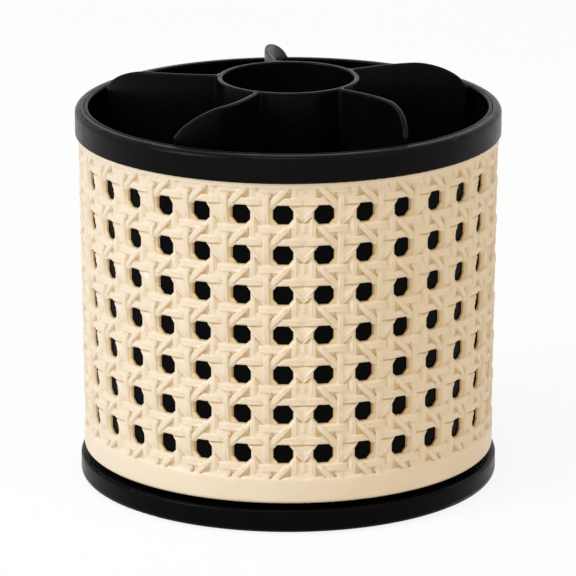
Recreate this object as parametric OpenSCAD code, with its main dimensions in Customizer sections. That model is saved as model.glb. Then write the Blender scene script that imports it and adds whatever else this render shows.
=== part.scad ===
// Rotating desk caddy: a cane-patterned drum with a swirl divider, turning on a ball-bearing base.
// Millimetres, +Z up, origin on the drum's axis at the level of the surface it stands on.

/* [Drum shell] */
// Outer diameter of the shell at its bottom edge
shell_d = 136; // [120:1:150]
// How much wider the shell is at its top edge
shell_flare = 2.4; // [0:0.2:5]
// Height of the shell
shell_h = 106.5; // [100:0.1:125]
// Thickness of the shell wall, strands included
shell_wall = 1.9; // [1.6:0.1:2.6]
// Rounding of the shell's bottom edge
shell_edge_round = 1.3; // [0.4:0.1:1.5]
// Thickness of the ledge inside the shell's foot
ledge_t = 1.8; // [1.2:0.1:3]
// Width of the ledge, from the shell's inner wall inwards
ledge_w = 12; // [10:0.5:16]

/* [Cane pattern] */
// Columns of holes round the shell
columns = 32; // [24:2:36]
// Distance from one row to the next
row_pitch = 13.24; // [12.5:0.02:13.5]
// Height of the lowest row's centre above the shell's bottom edge
first_row = 16.35; // [15:0.05:18]
// Width of a hole
hole_w = 6; // [4.5:0.1:6.6]
// Width of the holes beside a seam
seam_hole_w = 6.4; // [4.5:0.1:6.6]
// Height of a hole
hole_h = 6.1; // [4.5:0.1:6.8]
// Length cut off three corners of a hole
hole_corner = 1.7; // [0.8:0.1:2]
// Length cut off its fourth corner, the upper one away from the front seam
hole_small_corner = 1.1; // [0.6:0.1:2]
// Width of a strand
strand_w = 2.3; // [1.5:0.1:2.6]
// Ground left between a hole and the strands above and below it
strand_gap = 0.35; // [0.2:0.05:0.5]
// Depth of the ground between the strands
strand_relief = 0.8; // [0.2:0.1:1]
// Height of the plain band at the shell's foot
foot_band_h = 8.7; // [6:0.1:9.5]
// Height of the plain band under the collar
head_band_h = 3.6; // [1:0.1:4.2]

/* [Collar] */
// Height of the collar round the mouth
collar_h = 8.9; // [6:0.1:14]
// How far the collar stands out past the shell's top edge
collar_overhang = 0.8; // [0.4:0.1:3]
// Rounding of the collar's outer edges
collar_round = 1.8; // [0.4:0.1:2]
// Thickness of the tongue that keys the shell into the collar
tongue_w = 0.9; // [0.6:0.1:1]
// Height of that tongue
tongue_h = 2.2; // [1:0.1:3]
// Height of the snap bead that holds the collar on the liner
bead_h = 0.45; // [0.3:0.05:0.6]

/* [Liner cup] */
// Thickness of the liner wall
liner_wall = 1.4; // [1:0.1:2]
// Thickness of the liner floor
liner_floor_t = 2; // [1.2:0.1:4]
// Height of the liner's floor above its foot
liner_floor_lift = 5; // [4:0.5:9]
// How far the liner's lip stands above the collar
lip_rise = 0.2; // [0:0.1:1]
// Height of the spigot that centres the divider
spigot_h = 4; // [2:0.5:10]
// Thickness of the spigot
spigot_wall = 1.6; // [1.2:0.1:3]
// Diameter of a screw boss under the floor
boss_d = 7.2; // [6:0.1:8]

/* [Divider] */
// Outer diameter of the middle tube
tube_d = 46.6; // [40:0.2:54]
// Thickness of the tube wall
tube_wall = 1.7; // [1.2:0.1:2.4]
// How far the divider stands above the collar
divider_rise = 9.2; // [4:0.2:14]
// Number of fins
fin_count = 5; // [3:1:6]
// Thickness of a fin
fin_t = 1.7; // [1.2:0.1:2.4]
// Radius of the gentle bend next to the tube
fin_inner_bend = 116; // [90:1:160]
// Angle turned by the gentle bend
fin_inner_sweep = 6.4; // [2:0.2:9]
// Radius of the tighter bend towards the rim
fin_outer_bend = 38.2; // [34:0.2:60]
// Angle between a fin's root and the line out from the axis
fin_lead = 4.5; // [0:0.5:8]
// Bearing of the first fin's root
fin_bearing = 24.1; // [0:0.1:72]
// Clearance between the fins' ends and the liner
fin_end_gap = 2; // [0.8:0.1:5]
// Length of the rounded outer corner of a fin's top
fin_corner_w = 16.4; // [6:0.2:20]
// Drop of that rounded corner
fin_corner_h = 8.8; // [4:0.2:16]
// Fillet where a fin joins the tube
fin_fillet = 1.5; // [0.5:0.1:2.5]

/* [Base] */
// How far the base stands out past the shell's bottom edge
base_overhang = 1.2; // [0.5:0.1:4]
// Height of the base
base_h = 7.7; // [7:0.1:10]
// Width of the raised rim
rim_w = 2.6; // [1.6:0.1:5]
// Depth of the deck below the rim
rim_drop = 1; // [0.8:0.1:1.8]
// Rounding of the rim
rim_round = 1.1; // [0.4:0.1:1.2]
// Rounding of the base's bottom edge
base_edge_round = 2; // [0.4:0.1:2.4]
// Gap between the rim and the shell
turn_gap = 1.9; // [1:0.1:3]
// Thickness of the deck
deck_t = 2.6; // [2:0.1:3.2]
// Thickness of the base's outer wall
base_wall = 2.2; // [1.6:0.1:4]
// Number of ribs under the deck
base_ribs = 8; // [6:1:12]
// Thickness of a rib
rib_t = 1.4; // [1:0.1:2]
// Diameter of a rubber foot
foot_d = 11; // [8:0.5:14]
// Number of feet
feet = 4; // [3:1:6]
// How far a foot stands below the base
foot_proud = 0.5; // [0.3:0.1:2]
// How deep a foot sits in its seat
foot_sink = 0.6; // [0.4:0.1:1]
// Distance from the axis to a foot's centre
foot_ring_r = 57; // [45:0.5:58]

/* [Turntable] */
// Thickness of the turntable plate
plate_t = 2.6; // [2.4:0.1:4]
// How far the plate hangs below the shell's bottom edge
plate_drop = 0.5; // [0.2:0.1:0.7]
// Height of the stiffening ribs on the plate
plate_rib_h = 2.6; // [1:0.1:3]
// Diameter of a bearing ball
ball_d = 5; // [4.6:0.1:5.6]
// Number of balls
balls = 12; // [6:1:16]
// Diameter of the circle that the balls run on
race_d = 86; // [74:1:94]
// Width of the ball cage
cage_w = 9; // [7.5:0.5:12]
// Diameter of the spindle
spindle_d = 10; // [8:0.5:14]
// Diameter of the washer under the hub
washer_d = 16; // [15:0.5:20]
// Thickness of the washer
washer_t = 0.8; // [0.5:0.1:1]
// Thickness of the hub's wall
hub_wall = 4; // [3.2:0.1:6]

/* [Screws] */
// Shank diameter of the screws
screw_d = 3; // [2:0.1:3.2]
// Head diameter of the screws
screw_head_d = 5.6; // [4.6:0.1:6]
// Head height of the screws
screw_head_h = 1.3; // [0.9:0.1:1.4]
// Depth of thread that a plate screw takes in its boss
screw_bite = 3.6; // [2:0.1:3.8]
// Number of screws through the plate
plate_screw_count = 4; // [3:1:6]

/* [Clearances] */
// Radial clearance of the spindle in the hub
spindle_clear = 0.05; // [0.02:0.01:0.1]
// Radial clearance round a screw's shank
screw_clear = 0.05; // [0.02:0.01:0.1]
// Clearance between a ball and each race
ball_clear = 0.1; // [0.05:0.05:0.2]
// Clearance above and below the ball cage
cage_clear = 0.3; // [0.2:0.05:0.35]
// Clearance between nested mouldings that don't touch
nest_clear = 0.35; // [0.2:0.05:0.5]
// Clearance between mouldings that grip each other
grip_clear = 0.1; // [0.05:0.01:0.15]

/* [Hidden] */
$fn = 128;
overlap = 0.05;

// Heights, from the surface up
base_z = foot_proud;
rim_z = base_z + base_h;
deck_z = rim_z - rim_drop;
deck_under_z = deck_z - deck_t;
shell_z = rim_z + turn_gap;
plate_z = shell_z - plate_drop;
ball_z = (deck_z + plate_z) / 2;
plate_top_z = plate_z + plate_t;
ledge_top_z = plate_top_z + ledge_t;
floor_under_z = ledge_top_z + liner_floor_lift;
floor_z = floor_under_z + liner_floor_t;
shell_top_z = shell_z + shell_h;
collar_top_z = shell_top_z + collar_h;
lip_z = collar_top_z + lip_rise;
divider_z = collar_top_z + divider_rise;
bead_z = shell_top_z + collar_h / 2;

// Radii
shell_r = shell_d / 2;
shell_top_r = shell_r + shell_flare / 2;
taper = (shell_top_r - shell_r) / shell_h;
function shell_out_r(z) = shell_r + taper * (z - shell_z);
function shell_in_r(z) = shell_out_r(z) - shell_wall;
function liner_out_r(z) = shell_in_r(z) - nest_clear;
function liner_in_r(z) = liner_out_r(z) - liner_wall;
collar_r = shell_top_r + collar_overhang;
tongue_r = shell_top_r - shell_wall / 2;
plate_r = shell_in_r(shell_z) - nest_clear;
ledge_r = shell_in_r(ledge_top_z) - ledge_w;
screw_ring_r = (ledge_r + liner_in_r(ledge_top_z)) / 2;
tube_r = tube_d / 2;
tube_in_r = tube_r - tube_wall;
spigot_r = tube_in_r - nest_clear;
fin_end_r = liner_in_r(floor_z) - fin_end_gap;
base_r = shell_r + base_overhang;
race_r = race_d / 2;
groove_r = ball_d / 2 + ball_clear;
spindle_r = spindle_d / 2;
hub_r = spindle_r + spindle_clear + hub_wall;
hub_clear = ball_clear;
washer_r = washer_d / 2;
foot_r = foot_d / 2;
foot_seat_wall = 1.5;
shank_r = screw_d / 2;
head_r = screw_head_d / 2;
ball_step = 360 / balls;
foot_step = 360 / feet;
screw_step = 360 / plate_screw_count;

// Levels under the hub, where the washer and the spindle screw retain the drum
spindle_screw_z = base_z + grip_clear;
washer_z = spindle_screw_z + screw_head_h;
spindle_z = washer_z + washer_t;
hub_z = spindle_z + hub_clear;
spindle_boss_h = 5;
hub_top_z = plate_z - cage_clear;

// Rows of holes that fit under the head band
rows = 1 + floor((shell_h - first_row - hole_h / 2 - strand_gap - strand_w - head_band_h) / row_pitch);

// Angle from one column of holes to the next, and bearing of the front seam, which lies between two columns
column_step = 360 / columns;
front = -90;

// ---- shared shapes -------------------------------------------------------

// A block in the radius-height plane, from radius r0 to r1 and height z0 to z1
module section(r0, r1, z0, z1) {
    translate([r0, z0]) square([r1 - r0, z1 - z0]);
}

// The sliver outside a quarter circle, for rounding the corner of a section at (r, z);
// out and up are 1 or -1 and say which way the corner points
module corner_sliver(r, z, radius, out, up) {
    difference() {
        translate([r - (out > 0 ? radius : 1), z - (up > 0 ? radius : 1)]) square(radius + 1);
        translate([r - out * radius, z - up * radius]) circle(radius);
    }
}

// A ring of copies about the axis
module around(count, step, r, start = 0) {
    for (i = [0 : count - 1]) rotate([0, 0, start + i * step]) translate([r, 0, 0]) children();
}

// ---- base ----------------------------------------------------------------

module foot_bearing(i) {
    rotate([0, 0, 45 + (i - 1) * foot_step]) translate([foot_ring_r, 0, 0]) children();
}

module base_dish() {
    color([0.04, 0.04, 0.042]) difference() {
        union() {
            rotate_extrude() difference() {
                union() {
                    section(0, base_r, deck_under_z, deck_z);
                    section(base_r - rim_w, base_r, deck_z - overlap, rim_z);
                    section(base_r - base_wall, base_r, base_z, deck_under_z + overlap);
                    section(0, hub_r, hub_z, hub_top_z);
                }
                corner_sliver(base_r, rim_z, rim_round, 1, 1);
                corner_sliver(base_r - rim_w, rim_z, rim_round / 2, -1, 1);
                corner_sliver(base_r, base_z, min(base_edge_round, 0.9 * base_wall), 1, -1);
            }
            around(base_ribs, 360 / base_ribs, 0, 45 / 2)
                translate([hub_r - overlap, -rib_t / 2, base_z + foot_sink])
                    cube([base_r - base_wall - hub_r + 2 * overlap, rib_t, deck_under_z - base_z]);
            for (i = [1 : feet]) foot_bearing(i)
                translate([0, 0, base_z])
                    cylinder(r = foot_r + foot_seat_wall, h = deck_under_z - base_z + overlap);
        }
        // bore for the spindle
        translate([0, 0, base_z]) cylinder(r = spindle_r + spindle_clear, h = plate_z - base_z);
        // running groove for the balls
        translate([0, 0, ball_z]) rotate_extrude() translate([race_r, 0]) circle(groove_r, $fn = 48);
        // seats for the feet
        for (i = [1 : feet]) foot_bearing(i)
            translate([0, 0, base_z - 1]) cylinder(r = foot_r + grip_clear, h = foot_sink + 1);
    }
}

module foot(i) {
    color([0.10, 0.10, 0.10]) foot_bearing(i) rotate_extrude() difference() {
        section(0, foot_r, 0, foot_proud + foot_sink);
        corner_sliver(foot_r, 0, foot_proud / 3, 1, -1);
    }
}

// ---- ball bearing --------------------------------------------------------

module ball_cage() {
    color([0.75, 0.75, 0.72]) difference() {
        rotate_extrude()
            section(race_r - cage_w / 2, race_r + cage_w / 2, deck_z + cage_clear, plate_z - cage_clear);
        around(balls, ball_step, race_r)
            translate([0, 0, deck_z]) cylinder(r = groove_r, h = plate_z - deck_z, $fn = 64);
    }
}

module ball(i) {
    color([0.8, 0.8, 0.82]) rotate([0, 0, (i - 1) * ball_step])
        translate([race_r, 0, ball_z]) sphere(d = ball_d, $fn = 48);
}

// ---- turntable -----------------------------------------------------------

module turntable_plate() {
    color([0.04, 0.04, 0.042]) difference() {
        union() {
            translate([0, 0, plate_z]) cylinder(r = plate_r, h = plate_t);
            translate([0, 0, spindle_z]) cylinder(r = spindle_r, h = plate_z - spindle_z + overlap);
            translate([0, 0, plate_top_z - overlap])
                cylinder(r = spindle_r, h = spindle_boss_h + overlap);
            translate([0, 0, plate_top_z - overlap]) rotate_extrude()
                section(ledge_r - nest_clear - rib_t, ledge_r - nest_clear, 0, plate_rib_h + overlap);
            around(base_ribs, 360 / base_ribs, 0)
                translate([spindle_r - overlap, -rib_t / 2, plate_top_z - overlap])
                    cube([ledge_r - nest_clear - spindle_r - rib_t + 2 * overlap, rib_t,
                          plate_rib_h + overlap]);
        }
        // pilot bore for the spindle screw
        translate([0, 0, spindle_z - 1])
            cylinder(r = shank_r + screw_clear, h = plate_top_z + spindle_boss_h - spindle_z, $fn = 48);
        // running groove for the balls
        translate([0, 0, ball_z]) rotate_extrude() translate([race_r, 0]) circle(groove_r, $fn = 48);
        // counterbored holes for the plate screws
        plate_screw_places() {
            translate([0, 0, plate_z - 1]) cylinder(r = shank_r + screw_clear, h = plate_t + 2, $fn = 48);
            translate([0, 0, plate_z - 1])
                cylinder(r = head_r + screw_clear, h = screw_head_h + 1, $fn = 48);
        }
    }
}

module plate_screw_places() {
    around(plate_screw_count, screw_step, screw_ring_r, 45) children();
}

module spindle_washer() {
    color([0.7, 0.7, 0.72]) translate([0, 0, washer_z]) difference() {
        cylinder(r = washer_r, h = washer_t);
        translate([0, 0, -1]) cylinder(r = shank_r + screw_clear, h = washer_t + 2, $fn = 48);
    }
}

// A flat-headed screw, head down, standing on height z
module screw(z, length) {
    drive_w = screw_d / 4;
    difference() {
        union() {
            translate([0, 0, z]) cylinder(r = head_r, h = screw_head_h, $fn = 48);
            translate([0, 0, z]) cylinder(r = shank_r, h = screw_head_h + length, $fn = 48);
        }
        for (turn = [0, 90]) rotate([0, 0, turn])
            translate([-head_r * 0.6, -drive_w / 2, z - 1]) cube([head_r * 1.2, drive_w, 1 + screw_head_h / 2]);
    }
}

module spindle_screw() {
    color([0.7, 0.7, 0.72])
        screw(spindle_screw_z, washer_t + plate_top_z + spindle_boss_h - spindle_z - 2);
}

module plate_screws() {
    color([0.7, 0.7, 0.72]) plate_screw_places()
        screw(plate_z, plate_t - screw_head_h + ledge_t + screw_bite);
}

// ---- drum ----------------------------------------------------------------

function seam_column(i) = i == 0 || i == columns / 2 - 1 || i == columns / 2 || i == columns - 1;

// Outline of a hole: a rectangle with its corners cut off, the upper ones by left and right
module hole_outline(w, left, right) {
    x = w / 2;
    y = hole_h / 2;
    c = hole_corner;
    polygon([[x - c, -y], [x, c - y], [x, y - right], [x - right, y],
             [left - x, y], [-x, y - left], [-x, c - y], [c - x, -y]]);
}

module cane_holes() {
    for (row = [0 : rows - 1], i = [0 : columns - 1])
        rotate([0, 0, front + (i + 0.5) * column_step])
            translate([shell_r - shell_wall - strand_relief, 0, row_z(row)])
                rotate([90, 0, 90]) linear_extrude(shell_wall + shell_flare + 3)
                    hole_outline(seam_column(i) ? seam_hole_w : hole_w,
                                 i < columns / 2 ? hole_corner : hole_small_corner,
                                 i < columns / 2 ? hole_small_corner : hole_corner);
}

// Section of the wall that the strands lie on
module ground_section() {
    polygon([[shell_in_r(shell_z), shell_z], [shell_out_r(shell_z) - strand_relief, shell_z],
             [shell_out_r(shell_top_z) - strand_relief, shell_top_z], [shell_in_r(shell_top_z), shell_top_z]]);
}

// Section of a band that stands on that wall, as high as the strands
module band_section(z0, z1) {
    root = strand_relief + overlap;
    polygon([[shell_out_r(z0) - root, z0], [shell_out_r(z0), z0],
             [shell_out_r(z1), z1], [shell_out_r(z1) - root, z1]]);
}

// Height of a row's centre, and of the strand above it (side 1) or below it (side -1)
function row_z(row) = shell_z + first_row + row * row_pitch;
function strand_z(row, side) = row_z(row) + side * (hole_h / 2 + strand_gap + strand_w / 2);

module cane_shell() {
    color([0.93, 0.86, 0.74]) difference() {
        union() {
            rotate_extrude() {
                difference() {
                    union() {
                        ground_section();
                        band_section(shell_z, shell_z + foot_band_h);
                    }
                    corner_sliver(shell_r, shell_z, shell_edge_round, 1, -1);
                }
                band_section(shell_top_z - head_band_h, shell_top_z);
                for (row = [0 : rows - 1], side = [-1, 1])
                    band_section(strand_z(row, side) - strand_w / 2, strand_z(row, side) + strand_w / 2);
                section(ledge_r, shell_in_r(plate_top_z) + overlap, plate_top_z, ledge_top_z);
                section(tongue_r - tongue_w / 2, tongue_r + tongue_w / 2, shell_top_z - overlap,
                        shell_top_z + tongue_h);
            }
        }
        cane_holes();
        plate_screw_places()
            translate([0, 0, plate_top_z - 1]) cylinder(r = shank_r + screw_clear, h = ledge_t + 2, $fn = 48);
    }
}

module liner_section() {
    difference() {
        union() {
            polygon([[liner_in_r(ledge_top_z), ledge_top_z], [liner_out_r(ledge_top_z), ledge_top_z],
                     [liner_out_r(lip_z), lip_z], [liner_in_r(lip_z), lip_z]]);
            section(0, liner_in_r(floor_under_z) + overlap, floor_under_z, floor_z);
            section(spigot_r - spigot_wall, spigot_r, floor_z - overlap, floor_z + spigot_h);
            // snap bead under the collar
            translate([liner_out_r(bead_z), bead_z]) circle(bead_h, $fn = 32);
        }
        corner_sliver(liner_out_r(lip_z), lip_z, liner_wall / 2 - overlap, 1, 1);
        corner_sliver(liner_in_r(lip_z), lip_z, liner_wall / 2 - overlap, -1, 1);
    }
}

module liner_cup() {
    color([0.03, 0.03, 0.032]) difference() {
        union() {
            rotate_extrude() liner_section();
            plate_screw_places() translate([0, 0, ledge_top_z])
                cylinder(r = boss_d / 2, h = liner_floor_lift + overlap, $fn = 64);
        }
        plate_screw_places() translate([0, 0, ledge_top_z - 1])
            cylinder(r = shank_r + screw_clear, h = screw_bite + 1 + overlap, $fn = 48);
    }
}

module collar_ring() {
    color([0.05, 0.05, 0.052]) rotate_extrude() difference() {
        polygon([[liner_out_r(shell_top_z) + grip_clear, shell_top_z], [collar_r, shell_top_z],
                 [collar_r, collar_top_z], [liner_out_r(collar_top_z) + grip_clear, collar_top_z]]);
        corner_sliver(collar_r, collar_top_z, collar_round, 1, 1);
        corner_sliver(collar_r, shell_top_z, collar_round / 4, 1, -1);
        // groove over the shell's tongue
        section(tongue_r - tongue_w / 2 - grip_clear, tongue_r + tongue_w / 2 + grip_clear,
                shell_top_z - 1, shell_top_z + tongue_h + grip_clear);
        // groove over the liner's snap bead
        translate([liner_out_r(bead_z), bead_z]) circle(bead_h + grip_clear, $fn = 32);
    }
}

// ---- divider -------------------------------------------------------------

// One fin's wall in plan: a gentle bend out of the tube, then a tighter one towards the rim.
// Both bends turn clockwise and meet without a kink. Angles are counted from the fin's left.
fin_outer_sweep = 75;
fin_inner_centre = [0, -fin_inner_bend];
fin_outer_centre = on_arc(fin_inner_centre, fin_inner_bend - fin_outer_bend, fin_inner_sweep);

function on_arc(centre, radius, angle) = centre + radius * [sin(angle), cos(angle)];
function arc(centre, radius, from, to, steps) =
    [for (k = [0 : steps]) on_arc(centre, radius, from + (to - from) * k / steps)];
function fin_inner_side(side) =
    arc(fin_inner_centre, fin_inner_bend + side, asin((fillet_x(side) + fin_fillet) / fin_inner_bend),
        fin_inner_sweep, 6);
function fin_outer_side(side) =
    arc(fin_outer_centre, fin_outer_bend + side, fin_inner_sweep + 2, fin_inner_sweep + fin_outer_sweep, 36);
function reversed(points) = [for (k = [len(points) - 1 : -1 : 0]) points[k]];

// The fillet between a fin's side and the tube, from inside the tube's wall out to the fin
fillet_sink = tube_wall / 12;
tube_centre = [-tube_r * cos(fin_lead), tube_r * sin(fin_lead)];
function fillet_y(side) = side + sign(side) * fin_fillet;
function fillet_x(side) = tube_centre.x
    + sqrt((tube_r - fillet_sink + fin_fillet) ^ 2 - (fillet_y(side) - tube_centre.y) ^ 2);
function fillet_turn(side) =
    atan2(fillet_x(side) - tube_centre.x, sign(side) * (fillet_y(side) - tube_centre.y));
function root_fillet(side) = [
    let (centre = [fillet_x(side), fillet_y(side)], inward = tube_centre - centre, away = inward / norm(inward))
    for (point = concat(
        [centre + away * (fin_fillet + tube_wall / 2)],
        [for (k = [0 : 6]) let (a = fillet_turn(side) * (1 - k / 6))
            centre - fin_fillet * [sin(a), sign(side) * cos(a)]])) point];

module fin_plan() {
    left = concat(root_fillet(fin_t / 2), fin_inner_side(fin_t / 2), fin_outer_side(fin_t / 2));
    right = concat(root_fillet(-fin_t / 2), fin_inner_side(-fin_t / 2), fin_outer_side(-fin_t / 2));
    translate([tube_r, 0]) rotate(fin_lead) polygon(concat(left, reversed(right)));
}

// What the divider's top and ends are trimmed to, in the radius-height plane
module divider_section() {
    corner_r = fin_end_r - fin_corner_w;
    intersection() {
        section(0, fin_end_r, floor_z, divider_z);
        union() {
            section(0, corner_r, floor_z, divider_z);
            section(0, fin_end_r, floor_z, divider_z - fin_corner_h);
            translate([corner_r, divider_z - fin_corner_h])
                scale([fin_corner_w, fin_corner_h]) circle(1, $fn = 96);
        }
    }
}

module swirl_divider() {
    color([0.03, 0.03, 0.032]) difference() {
        intersection() {
            translate([0, 0, floor_z]) union() {
                cylinder(r = tube_r, h = divider_z - floor_z);
                for (i = [0 : fin_count - 1]) rotate([0, 0, fin_bearing + i * 360 / fin_count])
                    linear_extrude(divider_z - floor_z) fin_plan();
            }
            rotate_extrude() divider_section();
        }
        translate([0, 0, floor_z - 1]) cylinder(r = tube_in_r, h = divider_z - floor_z + 2);
    }
}

// ---- assembly ------------------------------------------------------------

base_dish();
for (i = [1 : feet]) foot(i);
ball_cage();
for (i = [1 : balls]) ball(i);
turntable_plate();
spindle_screw();
spindle_washer();
plate_screws();
cane_shell();
liner_cup();
collar_ring();
swirl_divider();
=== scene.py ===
"""Looks of a rotating desk caddy: a cane-patterned drum with a swirl divider on a turntable base."""

import math

import bpy
import numpy as np
from mathutils import Matrix
from mathutils.geometry import delaunay_2d_cdt


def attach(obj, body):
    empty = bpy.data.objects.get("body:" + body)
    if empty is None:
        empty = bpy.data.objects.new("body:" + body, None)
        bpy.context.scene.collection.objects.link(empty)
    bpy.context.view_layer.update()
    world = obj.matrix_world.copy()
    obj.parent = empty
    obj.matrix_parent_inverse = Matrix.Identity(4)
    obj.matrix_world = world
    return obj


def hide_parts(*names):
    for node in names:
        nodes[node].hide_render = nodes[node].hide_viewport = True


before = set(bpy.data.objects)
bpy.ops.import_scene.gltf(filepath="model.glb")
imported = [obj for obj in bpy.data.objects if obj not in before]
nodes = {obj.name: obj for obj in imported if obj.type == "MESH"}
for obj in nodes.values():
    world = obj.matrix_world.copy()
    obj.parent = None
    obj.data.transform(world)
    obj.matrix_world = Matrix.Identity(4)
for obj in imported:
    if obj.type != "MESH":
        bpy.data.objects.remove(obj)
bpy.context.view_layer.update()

MM = 0.001

# ---- camera ----------------------------------------------------------------
AIM = (0.0, 0.0, 0.062823)
CAMERA_AZIMUTH = -4.17
CAMERA_ELEVATION = 15.943
CAMERA_DISTANCE = 1.54944
LENS = 291.99
SENSOR = 36
SHIFT_X = -0.00045
CLIP_END = 20


def direction(az, el, distance):
    """A place that far from the aim point; az is in degrees anticlockwise from the front, seen from above."""
    a, e = math.radians(az), math.radians(el)
    return [AIM[0] + distance * math.sin(a) * math.cos(e), AIM[1] - distance * math.cos(a) * math.cos(e),
            AIM[2] + distance * math.sin(e)]


def aimed(data, name, place):
    """An object of this data at place, looking at the aim point."""
    obj = bpy.data.objects.new(name, data)
    bpy.context.scene.collection.objects.link(obj)
    away = np.array(place) - np.array(AIM)
    away /= np.linalg.norm(away)
    right = np.cross((0, 0, 1), away)
    right /= np.linalg.norm(right)
    up = np.cross(away, right)
    obj.matrix_world = Matrix([[right[i], up[i], away[i], place[i]] for i in range(3)] + [[0, 0, 0, 1]])
    return obj


camera_data = bpy.data.cameras.new("camera")
camera_data.lens = LENS
camera_data.sensor_width = SENSOR
camera_data.shift_x = SHIFT_X
camera_data.clip_end = CLIP_END
camera = aimed(camera_data, "camera", direction(CAMERA_AZIMUTH, CAMERA_ELEVATION, CAMERA_DISTANCE))
bpy.context.scene.camera = camera

# ---- light -----------------------------------------------------------------


def softbox(name, az, el, distance, width, height, power, colour=(1, 1, 1)):
    """A rectangular lamp of width by height in metres, power in watts, that faces the aim point."""
    data = bpy.data.lights.new(name, "AREA")
    data.shape = "RECTANGLE"
    data.size, data.size_y = width, height
    data.energy = power
    data.color = colour
    return aimed(data, name, direction(az, el, distance))


softbox("key", -66, 33, 2.6, 0.9, 1.6, 36, (0.83, 1.0, 1.32))
softbox("side", 46, 32, 2.6, 0.8, 1.2, 5.5, (1.08, 1.0, 0.88))
softbox("top", -20, 72, 2.4, 0.6, 0.6, 10)

AMBIENT = 0.525
AMBIENT_TINT = (1.1, 0.99, 0.8)
SEEN_BY = ("Is Camera Ray", "Is Glossy Ray", "Is Transmission Ray")


def any_ray(tree, kinds):
    """1 for a ray of any of these kinds, from Light Path, and 0 for the rest."""
    path = tree.nodes.new("ShaderNodeLightPath")
    result = path.outputs[kinds[0]]
    for kind in kinds[1:]:
        either = tree.nodes.new("ShaderNodeMath")
        either.operation = "MAXIMUM"
        tree.links.new(result, either.inputs[0])
        tree.links.new(path.outputs[kind], either.inputs[1])
        result = either.outputs[0]
    return result


def background(tree, colour, strength):
    n = tree.nodes.new("ShaderNodeBackground")
    n.inputs["Color"].default_value = (*colour, 1)
    n.inputs["Strength"].default_value = strength
    return n.outputs[0]


def mixed(tree, share, a, b):
    """Shader a, and b where share is 1."""
    n = tree.nodes.new("ShaderNodeMixShader")
    for source, socket in zip((share, a, b), n.inputs):
        tree.links.new(source, socket)
    return n.outputs[0]


# The world is white to what sees it, and a soft warm light to what it lights
world = bpy.data.worlds.new("studio")
bpy.context.scene.world = world
world.use_nodes = True
sky = world.node_tree
sky.nodes.clear()
sky_out = sky.nodes.new("ShaderNodeOutputWorld")
sky.links.new(mixed(sky, any_ray(sky, SEEN_BY), background(sky, AMBIENT_TINT, AMBIENT),
                    background(sky, (1, 1, 1), 1)), sky_out.inputs[0])

bpy.context.scene.view_settings.view_transform = "Standard"

# ---- materials ---------------------------------------------------------------
# Range that a noise texture mostly keeps to
NOISE_LOW, NOISE_HIGH = 0.3, 0.7


class Nodes:
    """A material's node tree, with short calls for what these materials use."""

    def __init__(self, name):
        self.material = bpy.data.materials.new(name)
        self.material.use_nodes = True
        self.tree = self.material.node_tree
        self.shader = self.tree.nodes["Principled BSDF"]
        self.place = self.tree.nodes.new("ShaderNodeTexCoord").outputs["Object"]

    def set(self, **values):
        for name, value in values.items():
            self.shader.inputs[name.replace("_", " ")].default_value = value
        return self

    def link(self, a, b):
        self.tree.links.new(a, b)

    def noise(self, scale, detail=3.0, rough=0.5):
        """Noise whose scale is in features per metre."""
        n = self.tree.nodes.new("ShaderNodeTexNoise")
        n.inputs["Scale"].default_value = scale
        n.inputs["Detail"].default_value = detail
        n.inputs["Roughness"].default_value = rough
        self.link(self.place, n.inputs["Vector"])
        return n.outputs["Fac"]

    def attribute(self, name):
        n = self.tree.nodes.new("ShaderNodeAttribute")
        n.attribute_name = name
        return n.outputs["Fac"]

    def ramp(self, source, stops):
        """Colour by the source, from (place, colour) stops in rising order."""
        n = self.tree.nodes.new("ShaderNodeValToRGB")
        for element, (at, colour) in zip(n.color_ramp.elements, (stops[0], stops[-1])):
            element.position, element.color = at, (*colour, 1)
        for at, colour in stops[1:-1]:
            n.color_ramp.elements.new(at).color = (*colour, 1)
        self.link(source, n.inputs["Fac"])
        return n.outputs["Color"]

    def span(self, source, low, high):
        """A number from low to high, as noise goes over its middle range."""
        n = self.tree.nodes.new("ShaderNodeMapRange")
        n.inputs["From Min"].default_value = NOISE_LOW
        n.inputs["From Max"].default_value = NOISE_HIGH
        n.inputs["To Min"].default_value = low
        n.inputs["To Max"].default_value = high
        self.link(source, n.inputs["Value"])
        return n.outputs["Result"]

    def blend(self, kind, a, b, share):
        """Colour a with b over it; b is a socket or a colour, share a socket or a number."""
        n = self.tree.nodes.new("ShaderNodeMix")
        n.data_type = "RGBA"
        n.blend_type = kind
        if isinstance(share, float):
            n.inputs["Factor"].default_value = share
        else:
            self.link(share, n.inputs["Factor"])
        self.link(a, n.inputs["A"])
        if isinstance(b, tuple):
            n.inputs["B"].default_value = (*b, 1)
        else:
            self.link(b, n.inputs["B"])
        return n.outputs["Result"]

    def bump(self, source, depth):
        """Bump whose depth is in metres."""
        n = self.tree.nodes.new("ShaderNodeBump")
        n.inputs["Distance"].default_value = depth
        self.link(source, n.inputs["Height"])
        return n.outputs["Normal"]


def srgb(r, g, b):
    """Linear colour of an 8-bit display colour."""
    return tuple((c / 255 / 12.92) if c / 255 <= 0.04045 else ((c / 255 + 0.055) / 1.055) ** 2.4
                 for c in (r, g, b))


def scaled(colour, factor):
    return tuple(c * factor for c in colour)


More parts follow.
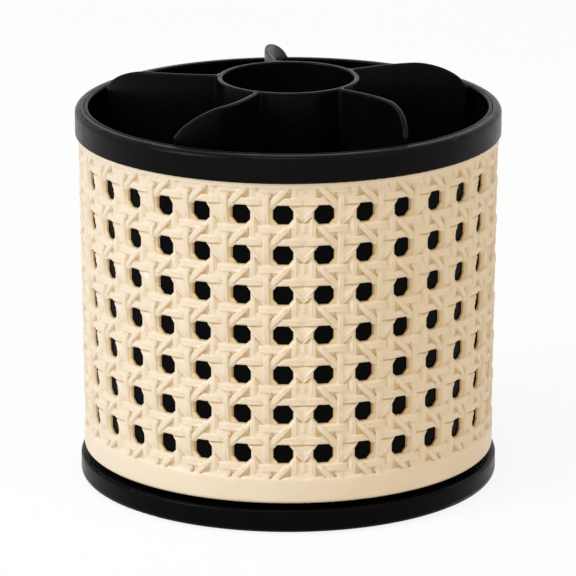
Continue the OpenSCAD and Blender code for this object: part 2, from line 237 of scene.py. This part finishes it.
def plastic(name, tone, rough, gloss, grain=1.0):
    """A moulded plastic or rubber with slight mottling; grain is the depth of its texture, 1 for a fine one."""
    m = Nodes(name).set(IOR=1.49, Specular_IOR_Level=gloss)
    m.link(m.ramp(m.noise(90, 4.0, 0.6), [(NOISE_LOW, scaled(tone, 0.8)), (NOISE_HIGH, scaled(tone, 1.3))]),
           m.shader.inputs["Base Color"])
    m.link(m.span(m.noise(260, 4.0, 0.6), rough - 0.05, rough + 0.07), m.shader.inputs["Roughness"])
    m.link(m.bump(m.noise(2600, 2.0), 0.02 * MM * grain), m.shader.inputs["Normal"])
    return m.material


# The cream is painted darker and yellower with the weave's depth, as painted shade in its pockets and down the
# holes' walls, and painted lighter along the holes' rims, as a painted highlight
CREAM = srgb(235, 215, 184)
CREAM_RECESS_SHADE = srgb(226, 200, 152)
CREAM_RIM_HIGHLIGHT = srgb(243, 228, 201)
CREAM_WELL_SHADE = srgb(186, 148, 102)
MOTTLE = (0.965, 0.96, 0.95)

cream = Nodes("cane_cream").set(IOR=1.46, Specular_IOR_Level=0.5)
# painted shade: from the deepest shade on the holes' walls, through the pockets' shade, to the plain cream on
# the strands' tops
body = cream.ramp(cream.attribute("relief"), [(0.0, CREAM_WELL_SHADE), (0.13, CREAM_RECESS_SHADE), (0.55, CREAM)])
# painted highlight along the holes' rims
rim_highlighted = cream.blend("MIX", body, CREAM_RIM_HIGHLIGHT, cream.attribute("rim"))
mottled = cream.blend("MULTIPLY", rim_highlighted, cream.ramp(
    cream.noise(60, 4.0, 0.6), [(NOISE_LOW, MOTTLE), (NOISE_HIGH, (1, 1, 1))]), 1.0)
cream.link(mottled, cream.shader.inputs["Base Color"])
cream.link(cream.span(cream.noise(320, 4.0, 0.6), 0.30, 0.42), cream.shader.inputs["Roughness"])
cream.link(cream.bump(cream.noise(1500, 3.0, 0.6), 0.06 * MM), cream.shader.inputs["Normal"])

collar_black = plastic("collar_black", srgb(7, 6, 5.5), 0.27, 0.068)
liner_black = plastic("liner_black", srgb(4, 4, 4), 0.24, 0.035)
divider_black = plastic("divider_black", srgb(5, 5, 5), 0.25, 0.065)
base_black = plastic("base_black", srgb(5, 4, 3.5), 0.28, 0.04)
rubber = plastic("foot_rubber", srgb(38, 37, 36), 0.75, 0.2, grain=2.5)
cage_plastic = plastic("cage_white", srgb(205, 203, 196), 0.5, 0.35)


def steel(name, tone, rough):
    m = Nodes(name).set(Metallic=1.0)
    m.link(m.ramp(m.noise(300, 4.0, 0.6), [(NOISE_LOW, scaled(tone, 0.9)), (NOISE_HIGH, tone)]),
           m.shader.inputs["Base Color"])
    m.link(m.span(m.noise(900, 4.0, 0.6), rough, rough + 0.12), m.shader.inputs["Roughness"])
    m.link(m.bump(m.noise(3000, 2.0), 0.01 * MM), m.shader.inputs["Normal"])
    return m.material


ball_steel = steel("ball_steel", srgb(205, 206, 210), 0.14)
screw_steel = steel("screw_steel", srgb(190, 190, 192), 0.28)

FINISHES = {
    "base_dish": base_black, "turntable_plate": base_black, "ball_cage": cage_plastic,
    "spindle_screw": screw_steel, "spindle_washer": screw_steel, "plate_screws": screw_steel,
    "liner_cup": liner_black, "collar_ring": collar_black, "swirl_divider": divider_black,
    "cane_shell": cream.material,
}
for name, node in nodes.items():
    finish = FINISHES.get(name) or (rubber if name.startswith("foot_") else ball_steel)
    node.data.materials.clear()
    node.data.materials.append(finish)

# ---- mesh helpers ------------------------------------------------------------


def mesh_object(name, points, faces, material, sharp, values=None):
    """A smooth-shaded mesh object from points in metres; edges over the sharp angle in degrees stay crisp."""
    mesh = bpy.data.meshes.new(name)
    mesh.from_pydata([tuple(p) for p in points], [], [tuple(int(i) for i in f) for f in faces])
    for key, array in (values or {}).items():
        mesh.attributes.new(key, "FLOAT", "POINT").data.foreach_set("value", np.asarray(array, np.float32))
    mesh.materials.append(material)
    mesh.polygons.foreach_set("use_smooth", [True] * len(mesh.polygons))
    mesh.set_sharp_from_angle(angle=math.radians(sharp))
    mesh.update()
    obj = bpy.data.objects.new(name, mesh)
    bpy.context.scene.collection.objects.link(obj)
    return obj


# ---- cane shell ----------------------------------------------------------------
# Sizes in millimetres. A cell has its hole at u = v = 0; u runs round the drum and v upwards, in pitches.
COLUMNS, ROWS = 32, 7
PITCH = 13.24
PITCH_ROUND = 2 * math.pi * 68.6 / COLUMNS
HALF_PITCH = PITCH_ROUND / 2
ROW_Z = 26.6
SHELL_Z, SHELL_TOP_Z = 10.1, 116.6
SHELL_R, SHELL_TOP_R = 68.0, 69.2
SHELL_FOOT_IN_R = 66.1
SHELL_WALL = 2.1
EDGE_ROUND = 1.3
# Depth of the relief, and the heights between which the weave lies, with the length over which it fades out
RELIEF = 1.8
WEAVE_LOW_Z, WEAVE_HIGH_Z = 18.1, 115.2
WEAVE_FADE = 0.5
# Heights between which the drum is made of strips; a lathed foot and head go on from there
STRIP_LOW_Z, STRIP_HIGH_Z = 17.2, 116.0


def shell_r(z):
    """The drum's outer radius at this height."""
    return SHELL_R + (SHELL_TOP_R - SHELL_R) * (np.asarray(z) - SHELL_Z) / (SHELL_TOP_Z - SHELL_Z)


def smooth(x):
    """A smooth step from 0 to 1."""
    x = np.clip(x, 0, 1)
    return x * x * (3 - 2 * x)


def above(x):
    """How far x is over zero."""
    return np.clip(x, 0, None)


# A strand's top is hollow by the groove and bevelled at its edges; its sides fall at the flank's slope
CROWN_GROOVE = 0.14
BEVEL = 0.34
BEVEL_DROP = 0.16
FLANK = 4.0
GROUND = 0.4
PIT_FLOOR = 0.1
ROOT2 = math.sqrt(2)


def turned(x, low):
    """x moved by whole pitches into the pitch that starts at low."""
    return np.mod(x - low, 1.0) + low


def strand(across, along, half, heights, fall=FLANK):
    """Height of a strand: across is the distance from its middle in mm, along its place on the path in pitches,
    heights the knots of its top along the path, over one pitch, and fall the slope of its positive side."""
    knots = np.array(heights)
    x, y = knots[:, 0], knots[:, 1]
    top = np.interp(turned(along, x[0]), np.append(x, x[0] + 1), np.append(y, y[0]))
    d = np.abs(across)
    groove = CROWN_GROOVE * (1 - smooth(d / (half - BEVEL)))
    edge = BEVEL_DROP * np.clip((d - (half - BEVEL)) / BEVEL, 0, 1) ** 2
    return top - groove - edge - np.where(across > 0, fall, FLANK) * above(d - half)


def bar_end(bar, inside):
    """A bar that ends where the distance in mm inside its end is zero."""
    return bar - FLANK * above(-inside) - BEVEL_DROP * np.clip(1 - inside / BEVEL, 0, 1) ** 2


def web(height, *inside):
    """A patch of the given height where every distance in mm is positive."""
    return height - FLANK * above(-np.minimum.reduce(inside))


def relief(u, v):
    """Height of the moulded weave above its deepest pockets, in mm."""
    # left-hand upright beside the hole
    low = strand(turned(u - 0.272, -0.5) * PITCH_ROUND, v, 0.83, [
        (-0.673, 0.5), (-0.583, 0.9), (-0.50, 1.25), (-0.364, 1.60), (-0.20, 1.45), (-0.05, 1.15), (0.08, 0.9),
        (0.20, 0.8)], 0.75)
    # falling diagonal
    low = np.maximum(low, strand(turned(u + v - 0.367, -0.5) / ROOT2 * PITCH, u, 0.7, [
        (-0.50, 1.1), (-0.40, 0.9), (-0.33, 1.0), (-0.25, 1.05), (-0.1, 0.8), (0.05, 0.6), (0.17, 1.4),
        (0.276, 1.60), (0.42, 1.45)]))
    # filled corner between the falling diagonal, the upper bar and the right-hand upright
    web_u, web_v = turned(u, 0.2), turned(v, -0.5)
    low = np.maximum(low, web(1.15, (web_u + web_v - 0.40) / ROOT2 * PITCH, (0.60 - web_u) * PITCH_ROUND))
    # groove along the foot of the upper bar, which what runs under it stops at
    low = np.where((web_v > -0.1) & (web_v < 0.33),
                   np.minimum(low, 0.6 + FLANK * above(0.213 - web_v) * PITCH), low)
    # pit along the lower edge of the falling diagonal
    pit_u = turned(u, 0.0)
    pit = PIT_FLOOR + 1.5 * (0.2924 - pit_u - web_v) / ROOT2 * PITCH + 6 * (
        above(0.345 - pit_u) + above(pit_u - 0.49)) * PITCH
    in_pit = (pit_u + web_v < 0.2924) & (web_v > -0.3)
    low = np.where(in_pit, np.minimum(low, pit), low)
    h = np.maximum(low, GROUND)
    h = np.where(in_pit, np.minimum(h, np.maximum(pit, PIT_FLOOR)), h)
    # shallow ground under the lower bar, left and right of the right-hand upright
    h = np.maximum(h, web(1.05, (turned(u, 0.2) - 0.37) * PITCH_ROUND, (0.71 - turned(u, 0.2)) * PITCH_ROUND,
                          (turned(v, -1.0) + 0.57) * PITCH, (-0.42 - turned(v, -1.0)) * PITCH))
    # floor of the gap between the rising diagonal and the upper bar
    gap_u, gap_v = turned(u, -0.5), turned(v, -0.1)
    h = np.maximum(h, web(0.85, 0.5 - np.abs(gap_u - gap_v + 0.42) / ROOT2 * PITCH, (gap_v - 0.15) * PITCH,
                          (0.44 - gap_v) * PITCH))
    # upper bar of each row: its left end is cut along the rising diagonal, its right end dives under an upright
    bar_u, bar_v = turned(u, -0.35), turned(v, -0.17)
    bar = strand((bar_v - 0.331) * PITCH, bar_u, 1.14, [
        (-0.35, 1.40), (-0.10, 1.50), (0.10, 1.60), (0.27, 1.60), (0.42, 1.25), (0.53, 0.95), (0.62, 0.6),
        (0.64, 0.3)])
    h = np.maximum(h, bar_end(bar, (bar_u - bar_v + 0.40) / ROOT2 * PITCH))
    # lower bar: a square left end, over an upright, then under the rising diagonal
    bar_u, bar_v = turned(u, -0.62), turned(v, -0.85)
    bar = strand((bar_v + 0.352) * PITCH, bar_u, 1.16, [
        (-0.62, 1.0), (-0.52, 1.3), (-0.408, 1.60), (-0.25, 1.50), (-0.10, 1.35), (0.02, 1.15), (0.15, 0.8),
        (0.30, 0.5), (0.32, 0.0)])
    h = np.maximum(h, bar_end(bar, (bar_u + 0.585) * PITCH_ROUND))
    # right-hand upright, over the upper bar and both diagonals
    h = np.maximum(h, strand(turned(u + 0.395, -0.5) * PITCH_ROUND, v, 0.87, [
        (-0.45, 0.9), (-0.364, 0.6), (-0.24, 0.85), (-0.09, 1.0), (0.08, 1.25), (0.20, 1.55), (0.327, 1.80),
        (0.45, 1.50), (0.53, 1.1)]))
    # rising diagonal
    h = np.maximum(h, strand(turned(u - v - 0.435, -0.5) / ROOT2 * PITCH, u, 0.85, [
        (-0.42, 0.5), (-0.349, 0.85), (-0.25, 1.30), (-0.12, 1.65), (0.03, 1.80), (0.12, 1.65), (0.20, 1.25),
        (0.276, 0.7)]))
    return np.minimum(h, RELIEF)


# Each kind of hole: its left, right, bottom and top in mm, and what is cut off its corners, as (width, height)
# from the lower left corner anticlockwise. Seam holes are those next to a seam.
HOLES = {
    "plain": ((-3.05, 2.85, -3.2, 2.88), [(1.74, 1.95), (1.5, 1.45), (1.27, 1.85), (0.9, 1.0)]),
    "seam": ((-3.15, 3.35, -3.2, 2.9), [(1.7, 1.9), (1.5, 1.9), (1.5, 1.9), (1.3, 1.5)]),
}


def hole_outline(kind):
    """Corners of a hole in mm, anticlockwise from the lower left."""
    (x0, x1, y0, y1), cuts = HOLES[kind]
    (ax, ay), (bx, by), (cx, cy), (dx, dy) = cuts
    return np.array([(x0, y0 + ay), (x0 + ax, y0), (x1 - bx, y0), (x1, y0 + by),
                     (x1, y1 - cy), (x1 - cx, y1), (x0 + dx, y1), (x0, y1 - dy)])


def outline_distance(points, outline):
    """Distance in mm from points to the closed outline, negative inside."""
    best = np.full(len(points), 1e9)
    inside = np.ones(len(points), bool)
    for a, b in zip(outline, np.roll(outline, -1, 0)):
        d = b - a
        t = np.clip(((points - a) @ d) / (d @ d), 0, 1)
        best = np.minimum(best, np.linalg.norm(points - a - t[:, None] * d, axis=1))
        inside &= (d[0] * (points[:, 1] - a[1]) - d[1] * (points[:, 0] - a[0])) > 0
    return np.where(inside, -best, best)


def hole_distance(points, outline):
    """Distance in mm from points on a strip to the hole of their row, and the points seen from its centre."""
    row = np.clip(np.round(points[:, 1] / PITCH), 0, ROWS - 1)
    local = np.stack([points[:, 0], points[:, 1] - row * PITCH], 1)
    return outline_distance(local, outline), local


# A hole's edge falls steeply below the wall's top and more gently above it. Beside the hole, on the side away
# from the seam and between two heights, a chamfer of its own slope and width leads down to it.
WALL_FOOT = RELIEF - SHELL_WALL + 0.05
WALL_FLANK = 8.0
WALL_TOP = 0.6
RIM_FLANK = 1.1
CHAMFER_FLANK = 0.65
CHAMFER_W = 1.15
CHAMFER_LOW, CHAMFER_HIGH = -1.45, 2.2
SEAM_CHAMFER_FOOT = 0.5
# Width of the painted highlight along a hole's rim, and the heights over which it fades in
RIM_HIGHLIGHT_W = 0.5
HIGHLIGHT_FROM, HIGHLIGHT_FADE = 0.5, 0.4


def strip_height(points, kind):
    """Height above the pockets, share of the painted highlight along a hole's rim, and distance to the hole.

    The points are in mm round and mm up from the lowest row."""
    outline = hole_outline(kind)
    seam = kind == "seam"
    u, v = points[:, 0] / PITCH_ROUND, points[:, 1] / PITCH
    h = relief(u, v)
    if seam:
        # the panel between the two uprights at the seam
        panel_v = turned(v, -0.8)
        h = np.where(u > 0.3, np.maximum(h, web(1.0, (u - 0.345) * PITCH_ROUND, (-0.2 - panel_v) * PITCH,
                                                (panel_v + 0.6) * PITCH)), h)
    z = ROW_Z + points[:, 1]
    low = smooth((z - WEAVE_LOW_Z) / WEAVE_FADE)
    high = smooth((WEAVE_HIGH_Z - z) / WEAVE_FADE)
    h = RELIEF + (h - RELIEF) * low * high
    d, local = hole_distance(points, outline)
    wall = WALL_FOOT + WALL_FLANK * d
    rim = np.minimum(wall, WALL_TOP + RIM_FLANK * (d - (WALL_TOP - WALL_FOOT) / WALL_FLANK))
    left = outline[:, 0].min() - local[:, 0]
    beside = (local[:, 1] > CHAMFER_LOW) & (local[:, 1] < CHAMFER_HIGH) & (left > 0)
    foot = SEAM_CHAMFER_FOOT if seam else WALL_FOOT
    chamfer = foot + CHAMFER_FLANK * left + FLANK * above(left - CHAMFER_W)
    h = np.minimum(h, np.minimum(rim, np.where(beside, chamfer, RELIEF)))
    # the second value is the share of the painted highlight along the hole's rim
    return h, np.clip(1 - d / RIM_HIGHLIGHT_W, 0, 1) * smooth((h - HIGHLIGHT_FROM) / HIGHLIGHT_FADE), d


# Distances in mm between a strip's points: inside, along its borders and along a hole's edge; how close the
# inner ones come to a hole; and the faces that a half strip keeps
INNER_STEP, BORDER_STEP, HOLE_STEP = 0.17, 0.4, 0.5
HOLE_MARGIN = 0.13
STRIP_FACES = 4600


def strip_mesh(side, kind):
    """The flat net of half a column: points (mm round, mm up), triangles, and which points are on its border."""
    outline = hole_outline(kind)
    low, high = STRIP_LOW_Z - ROW_Z, STRIP_HIGH_Z - ROW_Z
    x0, x1 = (0.0, HALF_PITCH) if side > 0 else (-HALF_PITCH, 0.0)
    # where the column's middle line crosses a hole
    crossings = [a[1] - a[0] / (b[0] - a[0]) * (b[1] - a[1]) for a, b in zip(outline, np.roll(outline, -1, 0))
                 if (a[0] <= 0 < b[0]) or (b[0] <= 0 < a[0])]
    bottom, top = min(crossings), max(crossings)
    points, edges = [], []

    def chain(path):
        start = len(points)
        points.extend(path)
        edges.extend((start + i, start + i + 1) for i in range(len(path) - 1))

    # this side of every hole's edge
    ring = sorted((p for p in outline if p[0] * side > 1e-9), key=lambda p: math.atan2(p[1], p[0] * side))
    for row in range(ROWS):
        corners = [(x, y + row * PITCH) for x, y in [(0.0, bottom), *ring, (0.0, top)]]
        path = []
        for a, b in zip(corners, corners[1:]):
            n = max(1, int(round(math.hypot(b[0] - a[0], b[1] - a[1]) / HOLE_STEP)))
            path += [(a[0] + (b[0] - a[0]) * i / n, a[1] + (b[1] - a[1]) * i / n) for i in range(n)]
        chain(path + corners[-1:])
    # the border with the next column, the same on every strip
    border_x = x1 if side > 0 else x0
    step = (high - low) / round((high - low) / BORDER_STEP)
    chain([(border_x, y) for y in np.arange(low, high + 1e-9, step)])
    # the column's middle line, between its holes
    spans = [low] + [y + row * PITCH for row in range(ROWS) for y in (bottom, top)] + [high]
    for a, b in zip(spans[0::2], spans[1::2]):
        n = max(1, int(round((b - a) / BORDER_STEP)))
        chain([(0.0, a + (b - a) * i / n) for i in range(n + 1)])
    # top and bottom
    for y in (low, high):
        chain([(x0 + (x1 - x0) * i / 4, y) for i in range(5)])
    # inside
    gx = np.arange(x0 + INNER_STEP, x1 - INNER_STEP / 2, INNER_STEP)
    gy = np.arange(low + INNER_STEP, high - INNER_STEP / 2, INNER_STEP)
    grid = np.stack(np.meshgrid(gx, gy), -1).reshape(-1, 2)
    grid = grid[hole_distance(grid, outline)[0] > HOLE_MARGIN]
    points.extend(tuple(p) for p in grid)

    verts, _, faces, *_ = delaunay_2d_cdt(points, edges, [], 0, 1e-5)
    flat = np.array([tuple(p) for p in verts])
    tri = np.array([tuple(f) for f in faces])
    tri = tri[hole_distance(flat[tri].mean(1), outline)[0] > 0]
    used = np.unique(tri)
    place = -np.ones(len(flat), int)
    place[used] = np.arange(len(used))
    flat, tri = flat[used], place[tri]
    border = np.minimum.reduce([np.abs(flat[:, 0] - x0), np.abs(flat[:, 0] - x1),
                                np.abs(flat[:, 1] - low), np.abs(flat[:, 1] - high)]) < 1e-4
    return flat, tri, border


def half_strip(side, kind):
    """One column's right (side 1) or left (side -1) half with its relief, flat and thinned out by Decimate.

    Gives points (mm round, mm up, height), triangles, and each point's share of the painted rim highlight and
    distance to a hole."""
    flat, tri, border = strip_mesh(side, kind)
    h, _, _ = strip_height(flat, kind)
    mesh = bpy.data.meshes.new("strip")
    mesh.from_pydata([(x, y, z) for (x, y), z in zip(flat, h)], [], [tuple(int(i) for i in t) for t in tri])
    obj = bpy.data.objects.new("strip", mesh)
    bpy.context.scene.collection.objects.link(obj)
    group = obj.vertex_groups.new(name="free")
    group.add([int(i) for i in np.nonzero(~border)[0]], 1.0, "REPLACE")
    modifier = obj.modifiers.new("lean", "DECIMATE")
    modifier.ratio = STRIP_FACES / len(tri)
    modifier.vertex_group = "free"
    done = obj.evaluated_get(bpy.context.evaluated_depsgraph_get()).to_mesh()
    co = np.zeros(len(done.vertices) * 3)
    done.vertices.foreach_get("co", co)
    co = co.reshape(-1, 3)
    lean = np.array([tuple(p.vertices) for p in done.polygons if len(p.vertices) == 3])
    bpy.data.objects.remove(obj)
    bpy.data.meshes.remove(mesh)
    # rim here is each point's share of the painted rim highlight
    _, rim, d = strip_height(co[:, :2], kind)
    return co, lean, rim, d


def wrapped(flat, bearing, mirror):
    """Flat strip points (mm round, mm up, height) bent round the drum, in metres."""
    z = ROW_Z + flat[:, 1]
    r = shell_r(z) - RELIEF + flat[:, 2]
    a = math.radians(bearing) + mirror * flat[:, 0] / PITCH_ROUND * math.radians(360 / COLUMNS)
    return np.stack([r * np.cos(a), r * np.sin(a), z], 1) * MM


def open_edges(tri):
    """Edges that only one triangle uses, in that triangle's direction."""
    edges = np.sort(np.concatenate([tri[:, [0, 1]], tri[:, [1, 2]], tri[:, [2, 0]]]), 1)
    unique, counts = np.unique(edges, axis=0, return_counts=True)
    single = {tuple(e) for e in unique[counts == 1]}
    directed = [(a, b) for t in tri for a, b in ((t[0], t[1]), (t[1], t[2]), (t[2], t[0]))]
    return [(a, b) for a, b in directed if (min(a, b), max(a, b)) in single]


strips = {(side, kind): half_strip(side, kind) for side in (1, -1) for kind in HOLES}


def shell_half(name, first):
    """Half of the shell, from one seam to the other: 16 columns starting at column first."""
    last = first + COLUMNS // 2 - 1
    mirror = -1 if first >= 0 else 1
    points, faces, height, rim_highlight_shares = [], [], [], []
    count = 0
    for column in range(first, last + 1):
        bearing = -90 + (column + 0.5) * 360 / COLUMNS
        for side in (1, -1):
            co, tri, rim, d = strips[side, "seam" if column in (first, last) else "plain"]
            outer = wrapped(co, bearing, mirror)
            tri = tri[:, ::-1] if mirror < 0 else tri
            # walls of the holes, from the rim in to the shell's inner side
            on_hole = [(a, b) for a, b in open_edges(tri) if d[a] < 0.05 and d[b] < 0.05]
            ring = sorted({i for e in on_hole for i in e})
            place = {v: i for i, v in enumerate(ring)}
            inner = co[ring].copy()
            inner[:, 2] = RELIEF - SHELL_WALL
            start, n = count + len(co), len(ring)
            walls = []
            for a, b in on_hole:
                a, b = place[a], place[b]
                walls += [(b, a, a + n), (b, a + n, b + n)]
            points += [outer, outer[ring], wrapped(inner, bearing, mirror)]
            faces += [tri + count, np.array(walls) + start]
            # the weave's height sets the painted shade and closeness to a rim the painted highlight; the holes'
            # walls take the deepest painted shade and no highlight
            height += [co[:, 2] / RELIEF, co[ring, 2] / RELIEF, np.full(n, 0.0)]
            rim_highlight_shares += [rim, rim[ring], np.full(n, 0.0)]
            count = start + 2 * n
    return mesh_object(name, np.concatenate(points), np.concatenate(faces), cream.material, 62,
                       {"relief": np.concatenate(height), "rim": np.concatenate(rim_highlight_shares)})


shell_left = shell_half("cane_left", -COLUMNS // 2)
shell_right = shell_half("cane_right", 0)


def revolved(profile, segments, closed):
    """Points in mm and faces of a profile of (radius, height) turned round the axis, anticlockwise with radius
    to the right."""
    profile = np.array(profile, float)
    a = np.arange(segments) * 2 * math.pi / segments
    points = np.stack([profile[:, None, 0] * np.cos(a), profile[:, None, 0] * np.sin(a),
                       np.repeat(profile[:, 1:2], segments, 1)], -1).reshape(-1, 3)
    n = len(profile)
    faces = []
    for p in range(n if closed else n - 1):
        q = (p + 1) % n
        for j in range(segments):
            k = (j + 1) % segments
            faces.append((p * segments + j, p * segments + k, q * segments + k, q * segments + j))
    return points, faces


def arc(r, z, radius, start, end, steps):
    """Points of a rounded corner in the radius-height plane, centre (r, z), angles in degrees."""
    return [(r + radius * math.cos(math.radians(start + (end - start) * i / steps)),
             z + radius * math.sin(math.radians(start + (end - start) * i / steps))) for i in range(steps + 1)]


def plain_band(name, profile):
    """A plain ring of the shell, with the cream of the strands' tops."""
    points, faces = revolved(profile, 8 * COLUMNS, closed=False)
    return mesh_object(name, points * MM, faces, cream.material, 40,
                       {"relief": np.ones(len(points)), "rim": np.zeros(len(points))})


foot_band = plain_band("cane_foot", [
    (float(shell_r(STRIP_LOW_Z)) - SHELL_WALL, STRIP_LOW_Z), (SHELL_FOOT_IN_R, SHELL_Z),
    *arc(SHELL_R - EDGE_ROUND, SHELL_Z + EDGE_ROUND, EDGE_ROUND, -90, 0, 8),
    (float(shell_r(STRIP_LOW_Z)), STRIP_LOW_Z)])
head_band = plain_band("cane_head", [
    (float(shell_r(STRIP_HIGH_Z)), STRIP_HIGH_Z), (SHELL_TOP_R, SHELL_TOP_Z),
    (SHELL_TOP_R - SHELL_WALL, SHELL_TOP_Z)])

for piece in (shell_left, shell_right, foot_band, head_band):
    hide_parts("cane_shell")
    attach(piece, "drum")

# ---- divider -----------------------------------------------------------------
# Sizes in millimetres and degrees. A fin bends gently out of the tube, then more tightly towards the rim.
TUBE_R, TUBE_IN_R = 23.3, 21.6
FLOOR_Z, DIVIDER_Z = 21.0, 134.7
FIN_T, FIN_END_R = 1.7, 62.47
FIN_BEARING, FIN_LEAD, FINS = 24.1, 4.5, 5
BEND_IN, SWEEP_IN = 116.0, 6.4
BEND_OUT, SWEEP_OUT = 38.2, 75
# Rounded outer corner of a fin's top, its fillet on the tube, and the rounding of the top edges
CORNER_W, CORNER_H, CORNER_POWER = 16.4, 8.8, 1.8
FILLET = 1.5
FIN_ROUND = 0.7
TUBE_ROUND = 0.55
# The round nose at a fin's end: its length, where it has sections, and how its top falls with the distance
NOSE = 0.85
NOSE_SECTIONS = (0.35, 0.6, 0.75, 0.83)
NOSE_FALL = 1.4


def fin_line():
    """Middle line of a fin: its points in mm, the way each point's left side faces, and their radius."""
    def on_arc(centre, radius, angle):
        a = math.radians(angle)
        return centre[0] + radius * math.sin(a), centre[1] + radius * math.cos(a)
    inner = (0.0, -BEND_IN)
    outer = on_arc(inner, BEND_IN - BEND_OUT, SWEEP_IN)
    # one section inside the tube's wall, close ones along the fillet, then even ones
    gentle = np.concatenate([[-0.4], np.linspace(0, 0.75, 7), np.linspace(1.2, SWEEP_IN, 8)])
    tight = np.linspace(SWEEP_IN + 1.2, SWEEP_IN + SWEEP_OUT, 60)
    line = [(*on_arc(inner, BEND_IN, a), a) for a in gentle] + [(*on_arc(outer, BEND_OUT, a), a) for a in tight]
    lead = math.radians(FIN_LEAD)
    out = []
    for x, y, a in line:
        x, y = x * math.cos(lead) - y * math.sin(lead) + TUBE_R, x * math.sin(lead) + y * math.cos(lead)
        normal = math.radians(90 - a) + lead
        r = math.hypot(x, y)
        if r < FIN_END_R:
            out.append((x, y, math.cos(normal), math.sin(normal), r))
    return out


def fin_top(r):
    """Height of a fin's top at this radius."""
    over = min(1, max(0.0, r - (FIN_END_R - CORNER_W)) / CORNER_W)
    return DIVIDER_Z - CORNER_H + CORNER_H * (1 - over ** CORNER_POWER) ** (1 / CORNER_POWER)


def fin_mesh():
    """Points in mm and faces of the first fin, before it is turned to its bearing."""
    stations = []
    for x, y, nx, ny, r in fin_line():
        gap = max(0.0, r - TUBE_R)
        extra = 0.0 if gap >= FILLET else FILLET - math.sqrt(FILLET ** 2 - (FILLET - gap) ** 2)
        stations.append((x, y, nx, ny, FIN_T / 2 + extra, fin_top(r)))
    x, y, nx, ny, _, top = stations[-1]
    for s in NOSE_SECTIONS:
        stations.append((x + ny * s, y - nx * s, nx, ny, FIN_T / 2 * math.sqrt(1 - (s / NOSE) ** 2),
                         top - NOSE_FALL * s * s))
    points, faces = [], []
    steps = 5
    for x, y, nx, ny, half, top in stations:
        e = min(FIN_ROUND, half * 0.95)
        section = [(half, FLOOR_Z)]
        section += [(half - e + e * math.cos(math.radians(a)), top - e + e * math.sin(math.radians(a)))
                    for a in np.linspace(0, 90, steps)]
        section += [(-w, z) for w, z in reversed(section)]
        points += [(x + nx * w, y + ny * w, z) for w, z in section]
    n = 2 * (steps + 1)
    for i in range(len(stations) - 1):
        for j in range(n):
            k = (j + 1) % n
            faces.append((i * n + j, (i + 1) * n + j, (i + 1) * n + k, i * n + k))
    faces.append(tuple(range(n)))
    faces.append(tuple(reversed(range((len(stations) - 1) * n, len(stations) * n))))
    return np.array(points), faces


def divider():
    """The divider's one moulding: the fins and the tube."""
    fin_points, fin_faces = fin_mesh()
    parts = []
    for i in range(FINS):
        a = math.radians(FIN_BEARING + i * 360 / FINS)
        turn = np.array([[math.cos(a), math.sin(a), 0], [-math.sin(a), math.cos(a), 0], [0, 0, 1]])
        parts.append((fin_points @ turn, fin_faces))
    parts.append(revolved([
        (TUBE_IN_R, FLOOR_Z), (TUBE_R, FLOOR_Z),
        *arc(TUBE_R - TUBE_ROUND, DIVIDER_Z - TUBE_ROUND, TUBE_ROUND, 0, 90, 6),
        *arc(TUBE_IN_R + TUBE_ROUND, DIVIDER_Z - TUBE_ROUND, TUBE_ROUND, 90, 180, 6)], 160, closed=True))
    points, faces, count = [], [], 0
    for part_points, part_faces in parts:
        points.append(part_points)
        faces += [tuple(v + count for v in f) for f in part_faces]
        count += len(part_points)
    return mesh_object("divider_moulding", np.concatenate(points) * MM, faces, divider_black, 50)


divider_piece = divider()
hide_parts("swirl_divider")
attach(divider_piece, "divider")

# ---- floor -------------------------------------------------------------------
FLOOR_REACH = 6.0
# How much of the floor's own shade is hidden from what sees it; the rest shows the object's shadow
FLOOR_WHITE = 0.88

floor_mesh = bpy.data.meshes.new("floor")
floor_mesh.from_pydata([(-FLOOR_REACH, -FLOOR_REACH, 0), (FLOOR_REACH, -FLOOR_REACH, 0),
                        (FLOOR_REACH, FLOOR_REACH, 0), (-FLOOR_REACH, FLOOR_REACH, 0)], [], [(0, 1, 2, 3)])
floor = bpy.data.objects.new("floor", floor_mesh)
bpy.context.scene.collection.objects.link(floor)
pale = Nodes("pale_floor").set(Roughness=0.9, Specular_IOR_Level=0.0)
pale.link(pale.ramp(pale.noise(8), [(NOISE_LOW, (0.93, 0.93, 0.93)), (NOISE_HIGH, (0.95, 0.95, 0.95))]),
          pale.shader.inputs["Base Color"])
white = pale.tree.nodes.new("ShaderNodeEmission")
white.inputs["Strength"].default_value = 1.0
share = pale.tree.nodes.new("ShaderNodeMath")
share.operation = "MULTIPLY"
share.inputs[1].default_value = FLOOR_WHITE
pale.link(any_ray(pale.tree, SEEN_BY), share.inputs[0])
pale_out = next(n for n in pale.tree.nodes if n.type == "OUTPUT_MATERIAL")
pale.link(mixed(pale.tree, share.outputs[0], pale.shader.outputs[0], white.outputs[0]), pale_out.inputs[0])
floor_mesh.materials.append(pale.material)
